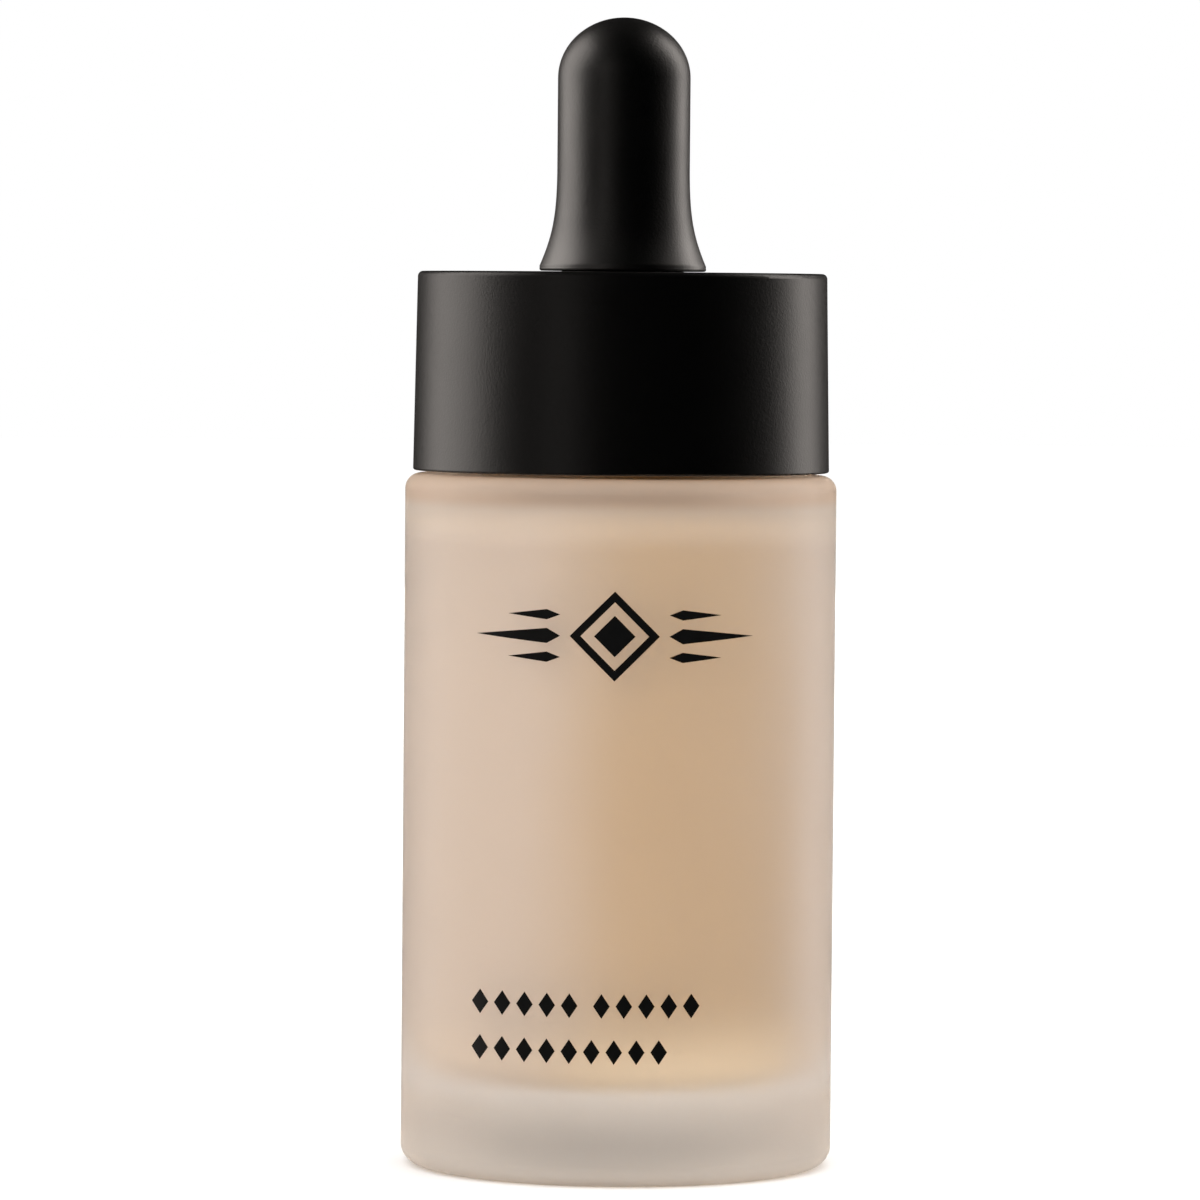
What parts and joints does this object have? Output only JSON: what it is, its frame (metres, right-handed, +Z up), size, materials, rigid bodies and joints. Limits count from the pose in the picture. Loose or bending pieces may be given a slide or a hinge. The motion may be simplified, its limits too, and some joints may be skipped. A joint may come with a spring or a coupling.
{
  "type": "foundation bottle",
  "caption": "Cylindrical frosted glass makeup bottle of liquid foundation with a screw-on black cap, a rubber dropper bulb and a glass pipette inside.",
  "frame": {"origin": "centre of the base, on the surface the bottle stands on", "axes": "+Z up along the bottle's axis; -Y is the printed front, +X to its right seen from the front"},
  "size_m": [0.0364, 0.0364, 0.0971],
  "materials": {
    "frosted_glass": "acid-frosted outside, polished inside",
    "foundation": "opaque creamy liquid, warm beige",
    "wiper_plastic": "natural translucent moulded plastic",
    "closure_plastic": "plain moulded black",
    "cap_plastic": "fine satin black",
    "bulb_rubber": "soft matte black",
    "pipette_glass": "clear, fire-polished ends",
    "label_film": "thin matte film sticker without text"
  },
  "bodies": {
    "bottle": {"glass_bottle": "frosted_glass", "foundation_fluid": "foundation", "neck_wiper": "wiper_plastic", "base_label": "label_film"},
    "fluid_column": {"pipette_fluid": "foundation"},
    "dropper": {"glass_pipette": "pipette_glass"},
    "closure": {"inner_closure": "closure_plastic", "outer_cap_shell": "cap_plastic"},
    "bulb": {"rubber_bulb": "bulb_rubber"}
  },
  "joints": [
    {"name": "dropper_lift", "type": "slide", "parent": "bottle", "child": "fluid_column", "axis": [0, 0, 1], "range_m": [0, 0.08]},
    {"name": "cap_rise", "type": "slide", "parent": "fluid_column", "child": "dropper", "axis": [0, 0, 1], "range_m": [0, 0.00476], "deforming": ["pipette_fluid"]},
    {"name": "cap_twist", "type": "hinge", "parent": "dropper", "child": "closure", "pos_m": [0, 0, 0.067], "axis": [0, 0, 1], "range_deg": [0, 540]},
    {"name": "bulb_press", "type": "slide", "parent": "dropper", "child": "bulb", "axis": [0, 0, -1], "range_m": [0, 0.006], "stiffness_N_per_m": 500, "deforming": ["rubber_bulb"]}
  ],
  "couplings": [
    {"joint": "cap_twist", "follows": "cap_rise", "rad_per_m": 1979}
  ]
}
